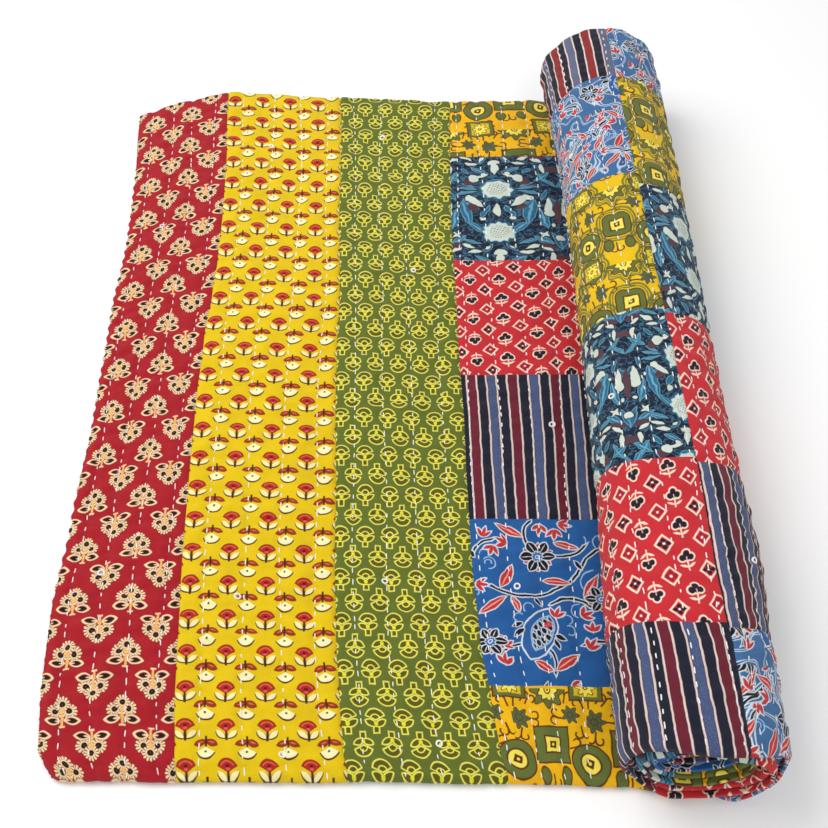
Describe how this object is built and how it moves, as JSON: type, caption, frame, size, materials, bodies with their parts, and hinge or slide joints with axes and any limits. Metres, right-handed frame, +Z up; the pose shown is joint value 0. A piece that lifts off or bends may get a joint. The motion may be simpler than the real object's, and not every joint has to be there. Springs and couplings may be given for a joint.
{
  "type": "patchwork quilt",
  "caption": "Hand-quilted cotton patchwork quilt, folded in three lengthwise, one end lying flat and the rest rolled up on top.",
  "frame": {"origin": "centre of the bounding box at the underside, where the quilt rests", "axes": "+X from the flat end towards the roll, +Y along the roll towards the back, +Z up"},
  "size_m": [0.5942, 0.801, 0.1129],
  "materials": {
    "red_cotton": "matt printed cotton",
    "yellow_cotton": "matt printed cotton",
    "green_cotton": "matt printed cotton",
    "patch_cotton": "matt printed cotton in six prints"
  },
  "bodies": {
    "root": {"red_border": "red_cotton", "yellow_border": "yellow_cotton", "green_border": "green_cotton", "patchwork_field": "patch_cotton"}
  },
  "joints": []
}
